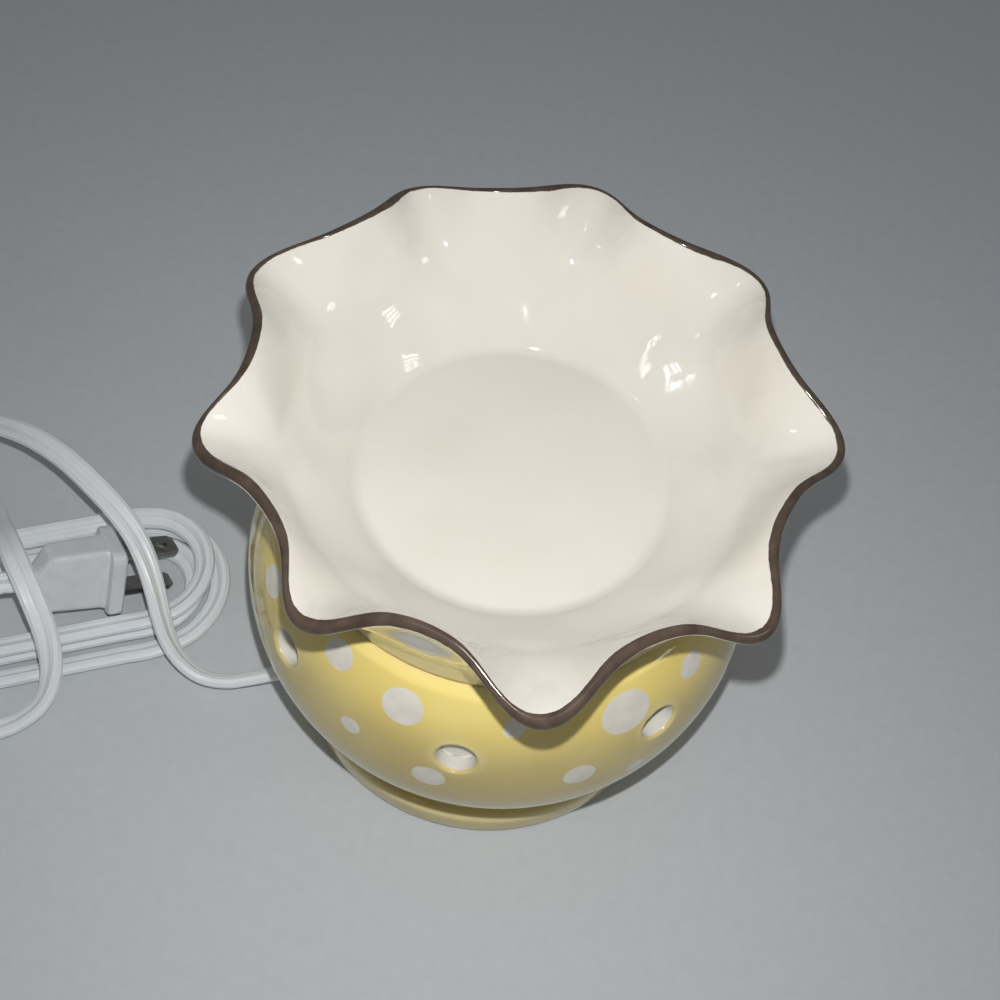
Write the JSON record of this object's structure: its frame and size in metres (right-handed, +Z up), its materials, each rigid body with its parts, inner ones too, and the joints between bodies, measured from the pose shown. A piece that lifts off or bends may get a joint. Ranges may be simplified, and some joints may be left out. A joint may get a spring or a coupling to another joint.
{
  "type": "wax warmer",
  "caption": "Lamp-heated ceramic wax warmer: dotted globe body with light holes, lift-off ruffled dish, screw-in lamp and a two-blade plug on a flat supply cord.",
  "frame": {"origin": "on the table under the globe's axis", "axes": "+Z up along the globe's axis, -Y towards the viewer, -X towards the side where the cord leaves"},
  "size_m": [0.308, 0.1406, 0.1271],
  "materials": {
    "body_glaze": "gloss yellow glaze with white dots",
    "dish_glaze": "gloss cream glaze with a brown rim",
    "pad_rubber": "matt",
    "brass": "satin",
    "steel": "satin",
    "phenolic": "matt black",
    "lamp_glass": "clear",
    "collar_glass": "black insulator",
    "solder": "satin",
    "wire": "drawn wire",
    "vinyl": "satin white vinyl",
    "plug_vinyl": "satin white vinyl",
    "tie_plastic": "satin"
  },
  "bodies": {
    "base": {"body_shell": "body_glaze", "foot_pad_1": "pad_rubber", "foot_pad_2": "pad_rubber", "foot_pad_3": "pad_rubber", "foot_pad_4": "pad_rubber", "socket_nipple": "brass", "nipple_nut": "brass", "nipple_washer_lower": "steel", "nipple_washer_upper": "steel", "socket_body": "phenolic", "socket_contact": "brass", "socket_shell": "brass", "cord_bushing": "vinyl", "lead_line": "vinyl", "lead_neutral": "vinyl", "cord_lead": "vinyl", "cord_hank": "vinyl", "hank_tie": "tie_plastic", "plug_body": "plug_vinyl", "plug_blade_line": "brass", "plug_blade_neutral": "brass"},
    "dish": {"wax_dish": "dish_glaze"},
    "bulb_carrier": {"bulb_tip": "solder"},
    "bulb": {"bulb_collar": "collar_glass", "bulb_cap": "brass", "bulb_glass": "lamp_glass", "bulb_stem": "lamp_glass", "bulb_lead_a": "wire", "bulb_lead_b": "wire", "bulb_filament": "wire"}
  },
  "joints": [
    {"name": "dish_lift", "type": "slide", "parent": "base", "child": "dish", "axis": [0, 0, 1], "range_m": [0, 0.06]},
    {"name": "bulb_rise", "type": "slide", "parent": "base", "child": "bulb_carrier", "axis": [0, 0, 1], "range_m": [0, 0.00764]},
    {"name": "bulb_turn", "type": "hinge", "parent": "bulb_carrier", "child": "bulb", "pos_m": [0, 0, 0.045], "axis": [0, 0, 1], "range_deg": [0, 1080]}
  ],
  "couplings": [
    {"joint": "bulb_rise", "follows": "bulb_turn", "m_per_rad": 0.00040425}
  ]
}
